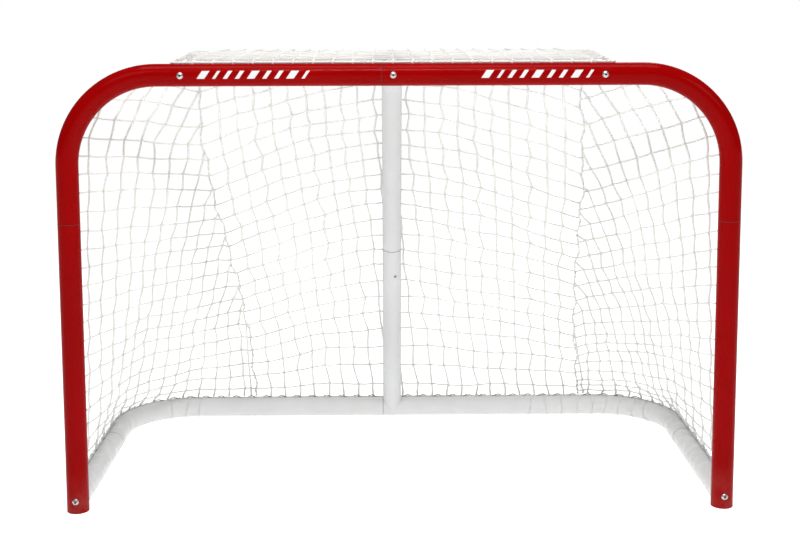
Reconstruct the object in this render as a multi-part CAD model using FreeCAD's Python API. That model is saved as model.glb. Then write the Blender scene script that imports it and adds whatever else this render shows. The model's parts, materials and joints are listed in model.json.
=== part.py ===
"""Full-size hockey goal: a knock-down tubular steel frame with a laced square-mesh net.

Working frame while modelling: X across the goal mouth, Y from the front tubes' axis plane back into
the net, Z up from the ground. Every part is moved by -ORIGIN_Y on export, so the origin is the centre
of the footprint, on the ground.
"""

import FreeCAD, Part
import math
import os

# ---- driving dimensions, millimetres -------------------------------------------------------------
GOAL_WIDTH = 1828.8          # outside to outside of the posts
GOAL_HEIGHT = 1219.2         # ground to the top of the crossbar
BASE_DEPTH = 820.0           # front tube axis to rear rail axis
TUBE_D = 60.3                # main tube outside diameter
TUBE_WALL = 2.0
SHELF_TUBE_D = 38.1
SHELF_TUBE_WALL = 1.6
CORNER_BEND = 240.0          # bend radii at the tube axis
BASE_BEND = 216.0
BAR_BEND = 216.0
SHELF_BEND = 62.0
POST_SEAM_Z = 794.0          # where the corner tubes plug into the posts
SIDE_SEAM_Y = 470.0          # where the rear rails plug into the side rails
CENTRE_X = -18.0             # the centre bolts and the centre bar stand off the middle by this
SEAM_X = CENTRE_X - 30.0     # crossbar and rear rail seams
BAR_TOP_DEPTH = 440.0        # where the centre bar's two straight runs would meet
BAR_SEAM_FROM_FOOT = 605.0
SHELF_HALF = 558.0           # half the distance between the shelf bolts
SHELF_RISE_DEG = 5.0
RAIL_Z = 34.0                # base rail axis height

SPIGOT_LENGTH = 90.0
BAR_SPIGOT_LENGTH = 120.0
CENTRE_SPIGOT_LENGTH = 60.0
SHOULDER = 8.0               # solid ring behind each spigot
FIT_GAP = 0.1                # radial gap of a spigot in its socket
SEAM_CHAMFER = 0.8
COPE_GAP = 0.1
COPE_TRIM_FOOT = 3.0         # how far a coped lip stops short of the mating axis
COPE_TRIM_TOP = 12.0

BOLT_D = 10.0
BOLT_HEAD_D = 17.5
BOLT_HEAD_H = 5.0
BOLT_HOLE_D = 10.6
SOCKET_ACROSS = 6.0
SOCKET_DEPTH = 3.4
INSERT_LENGTH = 20.0
INSERT_START = 32.0          # insert face, measured from the mating tube's axis
FOOT_BOLT_Z = 34.0
PLUG_HEIGHT = 12.0

BUTTON_D = 8.8
BUTTON_GAP = 0.08
BUTTON_PROUD = 3.0
BUTTON_BELOW_SEAM = 89.0
BUTTON_ANGLE_DEG = 20.0      # turned from the front of the bar towards +X
SPRING_WIDTH = 9.0
SPRING_THICK = 0.8

MESH = 50.8                  # net mesh, knot to knot
NET_THICK = 2.5
CORD_D = 6.0                 # border cord
HOOK_WIRE_D = 3.0
HOOK_PITCH = 3 * MESH
HEM_ANGLE_DEG = 50.0         # where the hem cord lies on the base tubes: outer side, below the top
HEM_TO_NET = 7.5             # from the hem cord's axis up to the panels' lower edge
SEAM_BOW = 280.0             # how far the taut net pulls its corner seams forward
BAR_FLAT = 25.0              # half width of the back panel's flat strip behind the centre bar

# ---- worked out ----------------------------------------------------------------------------------
R = TUBE_D / 2
BORE = R - TUBE_WALL
SPIGOT_R = BORE - FIT_GAP
SPIGOT_BORE = SPIGOT_R - TUBE_WALL
SHELF_R = SHELF_TUBE_D / 2
SHELF_BORE = SHELF_R - SHELF_TUBE_WALL
POST_X = GOAL_WIDTH / 2 - R
CROSS_Z = GOAL_HEIGHT - R
HEM_R = R + CORD_D / 2 + 0.2
HEM_OUT = HEM_R * math.cos(math.radians(HEM_ANGLE_DEG))
HEM_UP = HEM_R * math.sin(math.radians(HEM_ANGLE_DEG))
FRONT_Y = -(R + BOLT_HEAD_H)
REAR_Y = BASE_DEPTH + R
ORIGIN_Y = (FRONT_Y + REAR_Y) / 2

V = FreeCAD.Vector
X_AXIS, Y_AXIS, Z_AXIS = V(1, 0, 0), V(0, 1, 0), V(0, 0, 1)


# ---- helpers -------------------------------------------------------------------------------------
def export(name, shape):
    """Moves a finished part to the footprint's centre and writes its file."""
    placed = shape.copy()
    placed.translate(V(0, -ORIGIN_Y, 0))
    placed.exportStep(f"parts/{name}.step")
    kinds = len(placed.Solids)
    print(f"{name}: {kinds} solid(s), {placed.Volume / 1000:.1f} cm3, valid {placed.isValid()}")


def group(solids):
    return Part.makeCompound(solids)


def cylinder(radius, start, end):
    along = end.sub(start)
    return Part.makeCylinder(radius, along.Length, start, along)


def bent_path(points, bend):
    """One wire of straight runs joined by tangent arcs of radius bend at the inner points."""
    edges = []
    last = points[0]
    for before, corner, after in zip(points, points[1:], points[2:]):
        into = corner.sub(before).normalize()
        out = after.sub(corner).normalize()
        turn = into.getAngle(out)
        back = bend * math.tan(turn / 2)
        start = corner.sub(into * back)
        end = corner.add(out * back)
        inward = out.sub(into).normalize()
        middle = corner.add(inward * (bend / math.cos(turn / 2) - bend))
        edges.append(Part.LineSegment(last, start).toShape())
        edges.append(Part.Arc(start, middle, end).toShape())
        last = end
    edges.append(Part.LineSegment(last, points[-1]).toShape())
    return Part.Wire(edges)


def rod(points, bend, radius):
    """A solid round bar along a bent path."""
    path = bent_path(points, bend)
    along = points[1].sub(points[0])
    ring = Part.Wire([Part.makeCircle(radius, points[0], along)])
    return path.makePipeShell([ring], True, False)


def stretched(points, start, end):
    """The same route with its first and last points moved outwards along their runs."""
    first = points[0].add(points[0].sub(points[1]).normalize() * start)
    last = points[-1].add(points[-1].sub(points[-2]).normalize() * end)
    return [first] + points[1:-1] + [last]


def tube(points, bend, outer, bore, spigot_start=0.0, spigot_end=0.0):
    """A tube with open ends, or with a reduced spigot of the given length standing out of an end."""
    over = 1.0
    inner = stretched(
        points,
        -SHOULDER if spigot_start else over,
        -SHOULDER if spigot_end else over,
    )
    solid = rod(points, bend, outer)
    hollow = rod(inner, bend, bore)
    ends = (
        (points[0], points[0].sub(points[1]), spigot_start),
        (points[-1], points[-1].sub(points[-2]), spigot_end),
    )
    for at, out, length in ends:
        if not length:
            continue
        out = out.normalize()
        solid = solid.fuse(cylinder(bore - FIT_GAP, at, at.add(out * length)))
        inside = at.sub(out * (SHOULDER + over))
        small = bore - FIT_GAP - TUBE_WALL
        hollow = hollow.fuse(cylinder(small, inside, at.add(out * (length + over))))
    return solid.cut(hollow).removeSplitter()


def eased(shape, centre, radius):
    """Breaks the outer edge of a tube end, so that a seam shows as a fine groove."""
    edges = [
        e
        for e in shape.Edges
        if hasattr(e.Curve, "Radius")
        and abs(e.Curve.Radius - radius) < 0.01
        and e.Curve.Center.sub(centre).Length < 0.01
    ]
    return shape.makeChamfer(SEAM_CHAMFER, edges) if edges else shape


def only_solid(shape):
    """The largest solid of a cut, without the loose chips."""
    return max(shape.Solids, key=lambda s: s.Volume)


def bolt(head_seat, direction, length):
    """A button-head socket screw whose head rests on head_seat and whose shank runs along direction."""
    head_r = BOLT_HEAD_D / 2
    dome_r = (head_r**2 + BOLT_HEAD_H**2) / (2 * BOLT_HEAD_H) * 1.02
    head = Part.makeCylinder(head_r, BOLT_HEAD_H)
    dome = Part.makeSphere(dome_r, V(0, 0, BOLT_HEAD_H - dome_r))
    head = head.common(dome)
    hexagon = [
        V(SOCKET_ACROSS / math.sqrt(3) * math.cos(a), SOCKET_ACROSS / math.sqrt(3) * math.sin(a), 0)
        for a in [math.radians(60 * i) for i in range(7)]
    ]
    socket = Part.Face(Part.makePolygon(hexagon)).extrude(V(0, 0, SOCKET_DEPTH + 1))
    socket.translate(V(0, 0, BOLT_HEAD_H - SOCKET_DEPTH))
    shank = Part.makeCylinder(BOLT_D / 2, length, V(0, 0, -length))
    tip = 1.2
    shank = shank.makeChamfer(tip, [e for e in shank.Edges if abs(e.BoundBox.ZMax + length) < 0.01])
    made = head.cut(socket).fuse(shank).removeSplitter()
    made.Placement = FreeCAD.Placement(head_seat, FreeCAD.Rotation(Z_AXIS, direction * -1))
    return made


def insert(radius, mate, direction):
    """A threaded plug pressed into a coped tube end, with the hole for its bolt."""
    start = mate.add(direction * INSERT_START)
    end = start.add(direction * INSERT_LENGTH)
    body = cylinder(radius, start, end)
    return body.cut(cylinder(BOLT_D / 2 + 0.05, mate, end.add(direction)))


def bolt_hole(mate, direction, reach=R + 5):
    return cylinder(BOLT_HOLE_D / 2, mate.sub(direction * reach), mate.add(direction * reach))


# ---- main tube routes ----------------------------------------------------------------------------
def mouth_corner(side, seam_x):
    """Route of a front corner tube, from the crossbar seam to the post seam."""
    return [
        V(seam_x, 0, CROSS_Z),
        V(side * POST_X, 0, CROSS_Z),
        V(side * POST_X, 0, POST_SEAM_Z),
    ]


def base_corner(side, seam_x):
    """Route of a rear rail, from its seam in the middle to the side rail seam."""
    return [
        V(seam_x, BASE_DEPTH, RAIL_Z),
        V(side * POST_X, BASE_DEPTH, RAIL_Z),
        V(side * POST_X, SIDE_SEAM_Y, RAIL_Z),
    ]


CROSS_CENTRE = V(CENTRE_X, 0, CROSS_Z)
REAR_CENTRE = V(CENTRE_X, BASE_DEPTH, RAIL_Z)
BAR_CORNER = V(CENTRE_X, BAR_TOP_DEPTH, CROSS_Z)
BAR_UP = BAR_CORNER.sub(REAR_CENTRE).normalize()
BAR_SEAM = REAR_CENTRE.add(BAR_UP * BAR_SEAM_FROM_FOOT)
BAR_SLANT = math.atan2(BASE_DEPTH - BAR_TOP_DEPTH, CROSS_Z - RAIL_Z)
SHELF_SIDES = (CENTRE_X - SHELF_HALF, CENTRE_X + SHELF_HALF)


def shelf_depth():
    """Depth at which the shelf's rear bar just rests against the outside of the centre bar's bend."""
    turn = math.pi / 2 - BAR_SLANT
    centre_y = BAR_TOP_DEPTH - BAR_BEND * math.tan(turn / 2)
    centre_z = CROSS_Z - BAR_BEND
    reach = BAR_BEND + R + SHELF_R + 0.05
    depth = centre_y
    for _ in range(20):
        z = CROSS_Z + math.sin(math.radians(SHELF_RISE_DEG)) * depth
        depth = centre_y + math.sqrt(reach**2 - (z - centre_z) ** 2)
    return depth / math.cos(math.radians(SHELF_RISE_DEG))


SHELF_DEPTH = shelf_depth()
SHELF_Z = CROSS_Z + math.sin(math.radians(SHELF_RISE_DEG)) * SHELF_DEPTH
SHELF_Y = math.cos(math.radians(SHELF_RISE_DEG)) * SHELF_DEPTH


# ---- red front frame -----------------------------------------------------------------------------
def front_frame():
    left_route = mouth_corner(-1, SEAM_X)
    right_route = mouth_corner(1, SEAM_X)
    left = tube(left_route, CORNER_BEND, R, BORE, CENTRE_SPIGOT_LENGTH, SPIGOT_LENGTH)
    right = tube(right_route, CORNER_BEND, R, BORE, 0, SPIGOT_LENGTH)
    left = eased(eased(left, left_route[0], R), left_route[-1], R)
    right = eased(eased(right, right_route[0], R), right_route[-1], R)

    centre_hole = bolt_hole(CROSS_CENTRE, Y_AXIS)
    for x in SHELF_SIDES:
        hole = bolt_hole(V(x, 0, CROSS_Z), Y_AXIS)
        left = left.cut(hole)
        right = right.cut(hole)
    export("left_corner_tube", only_solid(left.cut(centre_hole)))
    export("right_corner_tube", only_solid(right.cut(centre_hole)))

    for side, name in ((-1, "left"), (1, "right")):
        top = V(side * POST_X, 0, POST_SEAM_Z)
        foot = V(side * POST_X, 0, 0)
        post = eased(tube([foot, top], CORNER_BEND, R, BORE), top, R)
        export(f"{name}_post_tube", post.cut(bolt_hole(V(side * POST_X, 0, FOOT_BOLT_Z), Y_AXIS)))


# ---- white base, centre bar and shelf ------------------------------------------------------------
def side_rails():
    for side, name in ((-1, "left"), (1, "right")):
        start = V(side * POST_X, COPE_TRIM_FOOT, RAIL_Z)
        end = V(side * POST_X, SIDE_SEAM_Y, RAIL_Z)
        rail = eased(tube([start, end], BASE_BEND, R, BORE), end, R)
        post = cylinder(R + COPE_GAP, V(side * POST_X, 0, -5), V(side * POST_X, 0, 2 * R + 10))
        export(f"{name}_side_rail", only_solid(rail.cut(post)))


def rear_rails():
    left_route = base_corner(-1, SEAM_X)
    right_route = base_corner(1, SEAM_X)
    left = tube(left_route, BASE_BEND, R, BORE, CENTRE_SPIGOT_LENGTH, SPIGOT_LENGTH)
    right = tube(right_route, BASE_BEND, R, BORE, 0, SPIGOT_LENGTH)
    left = eased(eased(left, left_route[0], R), left_route[-1], R)
    right = eased(eased(right, right_route[0], R), right_route[-1], R)
    shank_hole = cylinder(BOLT_HOLE_D / 2, REAR_CENTRE, REAR_CENTRE.add(BAR_UP * (R + 5)))
    access_r = BOLT_HEAD_D / 2 + 1.5
    access_hole = cylinder(access_r, REAR_CENTRE, REAR_CENTRE.sub(BAR_UP * (R + 5)))
    holes = shank_hole.fuse(access_hole)
    export("left_rear_rail", only_solid(left.cut(holes)))
    export("right_rear_rail", only_solid(right.cut(holes)))


def button_place():
    """Where the button's axis crosses the centre bar's axis, and the outward direction."""
    centre = BAR_SEAM.sub(BAR_UP * BUTTON_BELOW_SEAM)
    forward = V(0, -1, 0)
    forward = forward.sub(BAR_UP * forward.dot(BAR_UP)).normalize()
    turned = FreeCAD.Rotation(BAR_UP, BUTTON_ANGLE_DEG).multVec(forward)
    if turned.x < 0:
        turned = FreeCAD.Rotation(BAR_UP, -BUTTON_ANGLE_DEG).multVec(forward)
    return centre, turned


def centre_bar():
    start = CROSS_CENTRE.add(Y_AXIS * COPE_TRIM_TOP)
    upper = tube([start, BAR_CORNER, BAR_SEAM], BAR_BEND, R, BORE, 0, BAR_SPIGOT_LENGTH)
    upper = eased(upper, BAR_SEAM, R)
    crossbar = cylinder(R + COPE_GAP, V(CENTRE_X - 60, 0, CROSS_Z), V(CENTRE_X + 60, 0, CROSS_Z))
    upper = only_solid(upper.cut(crossbar))

    foot = REAR_CENTRE.add(BAR_UP * COPE_TRIM_FOOT)
    lower = eased(tube([BAR_SEAM, foot], BAR_BEND, R, BORE), BAR_SEAM, R)
    rail = cylinder(
        R + COPE_GAP,
        V(CENTRE_X - 60, BASE_DEPTH, RAIL_Z),
        V(CENTRE_X + 60, BASE_DEPTH, RAIL_Z),
    )
    lower = only_solid(lower.cut(rail))

    centre, out = button_place()
    hole = cylinder(BUTTON_D / 2 + BUTTON_GAP, centre.add(out * 20), centre.add(out * 40))
    export("centre_bar_upper", only_solid(upper.cut(hole)))
    export("centre_bar_lower", only_solid(lower.cut(hole)))


def tilted(shape):
    """Raises a flat shelf shape about the crossbar's axis."""
    made = shape.copy()
    made.rotate(V(0, 0, CROSS_Z), X_AXIS, SHELF_RISE_DEG)
    return made


def top_shelf():
    low_x, high_x = SHELF_SIDES
    start_y = 20.0
    route = [
        V(low_x, start_y, CROSS_Z),
        V(low_x, SHELF_DEPTH, CROSS_Z),
        V(high_x, SHELF_DEPTH, CROSS_Z),
        V(high_x, start_y, CROSS_Z),
    ]
    bar = tilted(tube(route, SHELF_BEND, SHELF_R, SHELF_BORE))
    crossbar = cylinder(R + COPE_GAP, V(-POST_X, 0, CROSS_Z), V(POST_X, 0, CROSS_Z))
    export("top_shelf_bar", only_solid(bar.cut(crossbar)))


# ---- bolts, threaded inserts and plugs -----------------------------------------------------------
def fasteners():
    front = Y_AXIS * -R
    through = 2 * R + INSERT_LENGTH
    export("crossbar_centre_bolt", bolt(CROSS_CENTRE.add(front), Y_AXIS, through))
    export("centre_bar_insert", insert(BORE - FIT_GAP, CROSS_CENTRE, Y_AXIS))

    shelf_mates = [V(x, 0, CROSS_Z) for x in SHELF_SIDES]
    export("shelf_bolts", group([bolt(m.add(front), Y_AXIS, through) for m in shelf_mates]))
    hole_r = BOLT_D / 2 + 0.05
    inserts = []
    for mate in shelf_mates:
        plug = tilted(
            cylinder(
                SHELF_BORE - FIT_GAP,
                mate.add(Y_AXIS * INSERT_START),
                mate.add(Y_AXIS * (INSERT_START + INSERT_LENGTH)),
            )
        )
        inserts.append(plug.cut(cylinder(hole_r, mate, mate.add(Y_AXIS * 80))))
    export("shelf_bar_inserts", group(inserts))

    foot_mates = [V(side * POST_X, 0, FOOT_BOLT_Z) for side in (-1, 1)]
    export("foot_bolts", group([bolt(m.add(front), Y_AXIS, through) for m in foot_mates]))
    export(
        "side_rail_inserts", group([insert(BORE - FIT_GAP, m, Y_AXIS) for m in foot_mates])
    )

    seat = REAR_CENTRE.add(BAR_UP * (SPIGOT_BORE - 2.0))
    rear_length = INSERT_START + INSERT_LENGTH - SPIGOT_BORE
    export("base_centre_bolt", bolt(seat, BAR_UP, rear_length))
    export("centre_bar_foot_insert", insert(BORE - FIT_GAP, REAR_CENTRE, BAR_UP))

    plugs = []
    for side in (-1, 1):
        plug = Part.makeCylinder(BORE - 0.05, PLUG_HEIGHT, V(side * POST_X, 0, 0))
        rib = 3.0
        pocket = Part.makeCylinder(BORE - rib, PLUG_HEIGHT, V(side * POST_X, 0, rib))
        plugs.append(plug.cut(pocket))
    export("foot_plugs", group(plugs))


def snap_lock():
    """The spring button that locks the centre bar's two halves together."""
    centre, out = button_place()
    turn = FreeCAD.Rotation(Z_AXIS, out)
    flange_bottom, flange_top = 23.0, 25.0
    flange_r = 6.0
    top = R + BUTTON_PROUD
    dome_r = BUTTON_D / 2 * 1.1
    stem = Part.makeCylinder(BUTTON_D / 2, top - flange_bottom, V(0, 0, flange_bottom))
    dome = Part.makeSphere(dome_r, V(0, 0, top - dome_r))
    below = Part.makeCylinder(BUTTON_D, top - dome_r - flange_bottom, V(0, 0, flange_bottom))
    stem = stem.common(dome.fuse(below))
    flange = Part.makeCylinder(flange_r, flange_top - flange_bottom, V(0, 0, flange_bottom))
    button = stem.fuse(flange).removeSplitter()
    button.Placement = FreeCAD.Placement(centre, turn)
    export("snap_button", button)

    # A leaf bent into a V: one arm under the button, one against the far wall of the spigot.
    near, far = flange_bottom - SPRING_THICK / 2 - 0.05, -(SPIGOT_BORE - 1.6)
    arm, tail = 42.0, 8.0
    line = [V(-tail, 0, near), V(arm * 0.75, 0, near - 4), V(arm, 0, (near + far) / 2), V(-tail, 0, far)]
    path = bent_path(line, 9.0)
    half = SPRING_WIDTH / 2
    corners = [
        V(-tail, -half, near - SPRING_THICK / 2),
        V(-tail, half, near - SPRING_THICK / 2),
        V(-tail, half, near + SPRING_THICK / 2),
        V(-tail, -half, near + SPRING_THICK / 2),
    ]
    section = Part.makePolygon(corners + corners[:1])
    leaf = path.makePipeShell([section], True, False)
    side_way = BAR_UP.cross(out)
    basis = FreeCAD.Matrix(
        BAR_UP.x, -side_way.x, out.x, centre.x,
        BAR_UP.y, -side_way.y, out.y, centre.y,
        BAR_UP.z, -side_way.z, out.z, centre.z,
        0, 0, 0, 1,
    )
    leaf.Placement = FreeCAD.Placement(basis)
    export("snap_spring", leaf)


# ---- net, cords and hooks ------------------------------------------------------------------------
def post_cords():
    """The net's border cord behind each post and round its corner, up to the shelf bar."""
    back = R + CORD_D / 2 + 0.2
    for side, name in ((-1, "left"), (1, "right")):
        stop = SHELF_SIDES[0] if side < 0 else SHELF_SIDES[1]
        route = [
            V(side * POST_X, back, RAIL_Z + R + 12),
            V(side * POST_X, back, CROSS_Z),
            V(stop + side * (SHELF_R + 12), back, CROSS_Z),
        ]
        export(f"{name}_post_cord", rod(route, CORNER_BEND, CORD_D / 2))


def crossbar_cord():
    top = CROSS_Z + R + CORD_D / 2 + 0.2
    start, end = V(SHELF_SIDES[0] - 30, -0.5, top), V(SHELF_SIDES[1] + 30, -0.5, top)
    export("crossbar_cord", cylinder(CORD_D / 2, start, end))


def hook(foot, out, along):
    """A wire staple standing on a tube at foot, with room for the border cord under it."""
    wire = HOOK_WIRE_D / 2
    inner = CORD_D / 2 + 0.4
    mid = inner + wire
    up = CORD_D / 2 + 0.2
    side = out.cross(along)
    bow = Part.makeTorus(mid, wire, V(0, 0, 0), Z_AXIS, -180, 180, 180)
    frame = FreeCAD.Matrix(
        side.x, out.x, along.x, foot.x + out.x * up,
        side.y, out.y, along.y, foot.y + out.y * up,
        side.z, out.z, along.z, foot.z + out.z * up,
        0, 0, 0, 1,
    )
    bow.Placement = FreeCAD.Placement(frame)
    legs = []
    for way in (-1, 1):
        top = foot.add(out * up).add(side * (mid * way))
        legs.append(cylinder(wire, top, top.sub(out * (up + 2.5))))
    return bow.fuse(legs).removeSplitter()


def hooks():
    made = []
    count = 6
    first = 140.0
    for side in (-1, 1):
        post = cylinder(R, V(side * POST_X, 0, 0), V(side * POST_X, 0, CROSS_Z))
        for i in range(count):
            foot = V(side * POST_X, R, first + HOOK_PITCH * i)
            made.append(hook(foot, Y_AXIS, Z_AXIS).cut(post))
    bar = cylinder(R, V(-POST_X, 0, CROSS_Z), V(POST_X, 0, CROSS_Z))
    steps = 7
    start, end = SHELF_SIDES[0] + 24, SHELF_SIDES[1] - 24
    for i in range(steps + 1):
        x = start + (end - start) * i / steps
        foot = V(x, -0.5, CROSS_Z + R)
        made.append(hook(foot, Z_AXIS, X_AXIS).cut(bar))
    export("net_hooks", group(made))


def hem_cords():
    """The hem's border cord along the outside of the base tubes, in two runs that end at the centre bar."""
    runs = []
    z = RAIL_Z + HEM_UP
    for side in (-1, 1):
        stop = CENTRE_X + side * (R - 6.0)
        route = [
            V(side * (POST_X + HEM_OUT), R + 16.0, z),
            V(side * (POST_X + HEM_OUT), BASE_DEPTH + HEM_OUT, z),
            V(stop, BASE_DEPTH + HEM_OUT, z),
        ]
        runs.append(rod(route, BASE_BEND + HEM_OUT, CORD_D / 2))
    export("base_hem_cords", group(runs))


def base_hooks():
    """Wire staples over the hem cord, one at every third mesh."""
    made = []
    angle = math.radians(HEM_ANGLE_DEG)
    straight_end = BASE_DEPTH - BASE_BEND
    arc = math.pi / 2 * BASE_BEND
    for side in (-1, 1):
        travelled = 120.0
        end = straight_end + arc + POST_X - BASE_BEND - side * CENTRE_X - HOOK_PITCH / 2
        while travelled < end:
            turn = min(max((travelled - straight_end) / BASE_BEND, 0.0), math.pi / 2)
            outward = V(side * math.cos(turn), math.sin(turn), 0)
            ahead = V(-side * math.sin(turn), math.cos(turn), 0)
            at = V(side * (POST_X - BASE_BEND), straight_end, RAIL_Z).add(outward * BASE_BEND)
            at = at.add(ahead * min(travelled - straight_end, 0.0))
            at = at.add(ahead * max(travelled - straight_end - arc, 0.0))
            normal = outward * math.cos(angle) + Z_AXIS * math.sin(angle)
            staple = hook(at.add(normal * R), normal, ahead)
            made.append(staple.cut(cylinder(R, at.sub(ahead * 30), at.add(ahead * 30))))
            travelled += HOOK_PITCH
    export("base_hooks", group([only_solid(m) for m in made]))


def surface_solid(grid, thick):
    """A closed thin solid over a grid of points, thickened half to each side along the normals."""
    rows, columns = len(grid), len(grid[0])

    def normal(i, j):
        a = grid[min(i + 1, rows - 1)][j].sub(grid[max(i - 1, 0)][j])
        b = grid[i][min(j + 1, columns - 1)].sub(grid[i][max(j - 1, 0)])
        return a.cross(b).normalize()

    sides = []
    for way in (0.5, -0.5):
        sides.append(
            [
                [grid[i][j].add(normal(i, j) * (way * thick)) for j in range(columns)]
                for i in range(rows)
            ]
        )
    top, bottom = sides
    faces = []

    def face(*points):
        faces.append(Part.Face(Part.makePolygon(list(points) + [points[0]])))

    def quad(a, b, c, d):
        face(a, b, c)
        face(a, c, d)

    for i in range(rows - 1):
        for j in range(columns - 1):
            for s in (top, bottom):
                quad(s[i][j], s[i + 1][j], s[i + 1][j + 1], s[i][j + 1])
    for i in range(rows - 1):
        for j in (0, columns - 1):
            quad(top[i][j], top[i + 1][j], bottom[i + 1][j], bottom[i][j])
    for j in range(columns - 1):
        for i in (0, rows - 1):
            quad(top[i][j], top[i][j + 1], bottom[i][j + 1], bottom[i][j])
    solid = Part.Solid(Part.Shell(faces))
    if solid.Volume < 0:
        solid.reverse()
    return solid


NET_FRONT_Z = GOAL_HEIGHT + CORD_D + 1.5
NET_TOP_Z = SHELF_Z + SHELF_R + 3.5
NET_BOTTOM_Z = RAIL_Z + HEM_UP + HEM_TO_NET
SEAM_TOP_Z = NET_TOP_Z - 4.0
SEAM_CLEAR = CORD_D / 2 + 3.5
POST_NET_Y = R + CORD_D + 6.5
ARC_Z = CROSS_Z - CORNER_BEND
SHELF_NET_Y = SHELF_Y + SHELF_R + 5.0
BOW_TOP_Z = SHELF_Z - SHELF_R - 9.0

# The net lies round the outside of the centre bar: its run round the bend, seen from the side.
NET_BACK_GAP = R + 1.5 + NET_THICK / 2
BEND_Y = BAR_TOP_DEPTH - BAR_BEND * math.tan((math.pi / 2 - BAR_SLANT) / 2)
BEND_Z = CROSS_Z - BAR_BEND
NET_BEND_R = BAR_BEND + NET_BACK_GAP
LEAVE_Z = BEND_Z + NET_BEND_R * math.sin(BAR_SLANT)
SHELF_WAY = math.hypot(SHELF_NET_Y - BEND_Y, SHELF_Z - BEND_Z)
TOUCH_ANGLE = math.atan2(SHELF_Z - BEND_Z, SHELF_NET_Y - BEND_Y) - math.acos(NET_BEND_R / SHELF_WAY)
TOUCH_Y = BEND_Y + NET_BEND_R * math.cos(TOUCH_ANGLE)
TOUCH_Z = BEND_Z + NET_BEND_R * math.sin(TOUCH_ANGLE)


def back_net_y(z):
    """Depth of the net behind the centre bar: up the slant, round the bend and over to the shelf."""
    if z <= LEAVE_Z:
        along_y = BASE_DEPTH - (z - RAIL_Z) * math.tan(BAR_SLANT)
        return along_y + NET_BACK_GAP / math.cos(BAR_SLANT)
    if z <= TOUCH_Z:
        return BEND_Y + math.sqrt(NET_BEND_R**2 - (z - BEND_Z) ** 2)
    if z <= SHELF_Z:
        part = (z - TOUCH_Z) / (SHELF_Z - TOUCH_Z)
        return TOUCH_Y * (1 - part) + SHELF_NET_Y * part
    return SHELF_NET_Y - 0.3 * (z - SHELF_Z)


def seam_point(side, z):
    """A point of the corner seam, where the side and back panels pull each other forward."""
    t = (z - NET_BOTTOM_Z) / (SEAM_TOP_Z - NET_BOTTOM_Z)
    if side < 0:
        x = -480.0 - 116.0 * t**1.9
    else:
        x = 614.0 - 89.0 * (1 - (1 - t) ** 2) + 40.0 * t**12
    taut = min((z - NET_BOTTOM_Z) / (BOW_TOP_Z - NET_BOTTOM_Z), 1.0)
    return V(x, back_net_y(z) - SEAM_BOW * math.sin(math.pi * taut**2.2), z)


def on_route(points, t):
    """A point at the fraction t of a polyline's length."""
    spans = [b.sub(a).Length for a, b in zip(points, points[1:])]
    left = sum(spans) * t
    for a, b, span in zip(points, points[1:], spans):
        if left <= span:
            return a.add(b.sub(a) * (left / span))
        left -= span
    return points[-1]


def base_route(side):
    """The lower edge of a side panel: out to the hem cord, round the bend and in to the corner seam."""
    points = [V(side * POST_X, POST_NET_Y, NET_BOTTOM_Z)]
    points.append(V(side * (POST_X + HEM_OUT), POST_NET_Y + 60.0, NET_BOTTOM_Z))
    centre = V(side * (POST_X - BASE_BEND), BASE_DEPTH - BASE_BEND, NET_BOTTOM_Z)
    steps = 6
    for i in range(steps + 1):
        a = math.pi / 2 * i / steps
        out = V(side * math.cos(a), math.sin(a), 0)
        points.append(centre.add(out * (BASE_BEND + HEM_OUT)))
    points.append(seam_point(side, NET_BOTTOM_Z).add(X_AXIS * (side * SEAM_CLEAR)))
    return points


def post_edge(side, z):
    """Where the side panel is tied: up the post, then round the mouth's corner."""
    if z <= ARC_Z:
        return V(side * POST_X, POST_NET_Y, z)
    reach = math.sqrt(max(CORNER_BEND**2 - (z - ARC_Z) ** 2, 0))
    return V(side * (POST_X - CORNER_BEND + reach), POST_NET_Y, z)


def side_net(side):
    """The side panel: taut chords from the post to the corner seam, eased onto the base tube."""
    levels = [0, 55, 130, 230, 360, 520, 680, 800, 880, 940, 990, 1030, 1065, 1095, 1120]
    columns = 10
    hem_reach = 220.0
    hem = base_route(side)
    grid = []
    for level in levels:
        z = min(NET_BOTTOM_Z + level, CROSS_Z)
        start = post_edge(side, z)
        end = seam_point(side, z).add(X_AXIS * (side * SEAM_CLEAR))
        weight = math.exp(-level / hem_reach)
        row = []
        for j in range(columns + 1):
            u = j / columns
            low = on_route(hem, u)
            low.z = z
            chord = start.add(end.sub(start) * u)
            row.append(chord * (1 - weight) + low * weight)
        grid.append(row)
    leg = SHELF_SIDES[0] if side < 0 else SHELF_SIDES[1]
    front = V(leg + side * (SHELF_R + SEAM_CLEAR), POST_NET_Y + 4, NET_FRONT_Z - 4.0)
    rear = seam_point(side, SEAM_TOP_Z).add(X_AXIS * (side * SEAM_CLEAR))
    grid.append([front.add(rear.sub(front) * (j / columns)) for j in range(columns + 1)])
    return surface_solid(grid, NET_THICK)


def seam_cord(side):
    """The gathered cord of a corner seam, swept along the seam's bow."""
    steps = 12
    span = SEAM_TOP_Z - NET_BOTTOM_Z
    points = [seam_point(side, NET_BOTTOM_Z + span * i / steps) for i in range(steps + 1)]
    curve = Part.BSplineCurve()
    curve.interpolate(points)
    start = curve.tangent(curve.FirstParameter)[0]
    ring = Part.Wire([Part.makeCircle(CORD_D / 2, points[0], start)])
    return Part.Wire([curve.toShape()]).makePipeShell([ring], True, False)


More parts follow.
